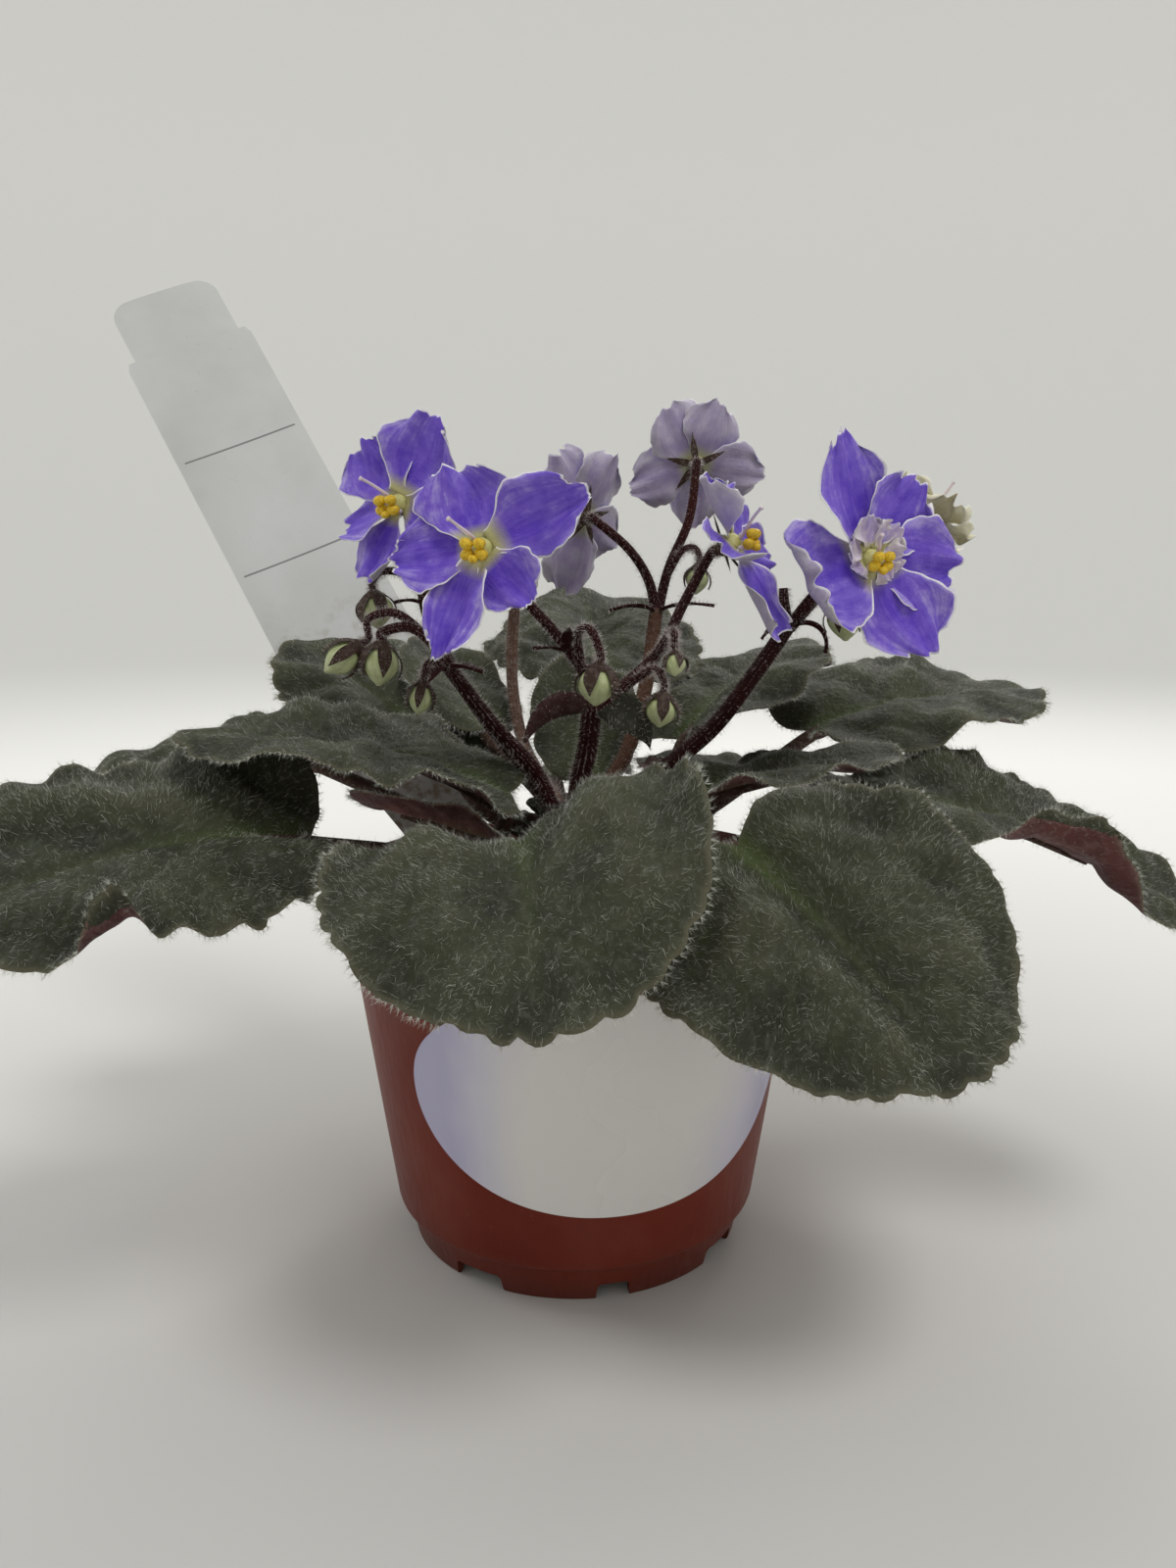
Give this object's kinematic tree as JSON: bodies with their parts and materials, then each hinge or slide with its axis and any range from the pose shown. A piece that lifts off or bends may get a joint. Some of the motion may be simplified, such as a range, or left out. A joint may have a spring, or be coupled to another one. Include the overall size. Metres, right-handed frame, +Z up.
{
  "type": "potted african violet",
  "caption": "Flowering potted plant with hairy, scalloped leaves and violet flowers on stalks, in a tapered plastic nursery pot with a label and a plant tag.",
  "frame": {"origin": "on the pot's axis, in the plane its foot ring stands on", "axes": "+Z up along the pot's axis, -Y towards the front, where the label is, +X to the right as seen from the front"},
  "size_m": [0.271, 0.1994, 0.2401],
  "materials": {
    "pot_plastic": "thin injection-moulded plastic, satin",
    "label_paper": "coated paper, glossy",
    "soil": "dark peat mix",
    "tag_plastic": "thin white sheet plastic",
    "crown": "short woody stem",
    "leaf": "dark green, quilted and covered in fine hair",
    "stalk": "maroon, with fine white hair",
    "violet_petal": "blue-violet petal with a white edge",
    "faded_petal": "cream petal",
    "calyx": "dark hairy sepals",
    "anther": "yellow pollen sacs",
    "bud": "green petals in dark sepals"
  },
  "bodies": {
    "root": {"bud_back": "bud", "bud_centre": "bud", "bud_hanging": "bud", "bud_left_large": "bud", "bud_left_low": "bud", "bud_left_twin": "bud", "bud_left_upper": "bud", "bud_right": "bud", "bud_round": "bud", "crown": "crown", "flower_back_left_calyx": "calyx", "flower_back_left_petals": "violet_petal", "flower_back_left_stamens": "anther", "flower_back_right_calyx": "calyx", "flower_back_right_petals": "violet_petal", "flower_back_right_stamens": "anther", "flower_faded_calyx": "calyx", "flower_faded_petals": "faded_petal", "flower_front_calyx": "calyx", "flower_front_petals": "violet_petal", "flower_front_stamens": "anther", "flower_left_calyx": "calyx", "flower_left_petals": "violet_petal", "flower_left_stamens": "anther", "flower_middle_calyx": "calyx", "flower_middle_petals": "violet_petal", "flower_middle_stamens": "anther", "flower_right_calyx": "calyx", "flower_right_petals": "violet_petal", "flower_right_stamens": "anther", "leaf_back_left": "leaf", "leaf_back_right": "leaf", "leaf_back_top": "leaf", "leaf_centre_left": "leaf", "leaf_front": "leaf", "leaf_front_left": "leaf", "leaf_front_right": "leaf", "leaf_left": "leaf", "leaf_left_top": "leaf", "leaf_left_under": "leaf", "leaf_left_upper": "leaf", "leaf_right": "leaf", "leaf_right_low": "leaf", "leaf_right_top": "leaf", "leaf_right_upper": "leaf", "leaf_young": "leaf", "plant_tag": "tag_plastic", "pot": "pot_plastic", "pot_label": "label_paper", "soil": "soil", "stalk_back": "stalk", "stalk_centre": "stalk", "stalk_left": "stalk", "stalk_left_back": "stalk", "stalk_rear": "stalk", "stalk_right": "stalk"}
  },
  "joints": []
}
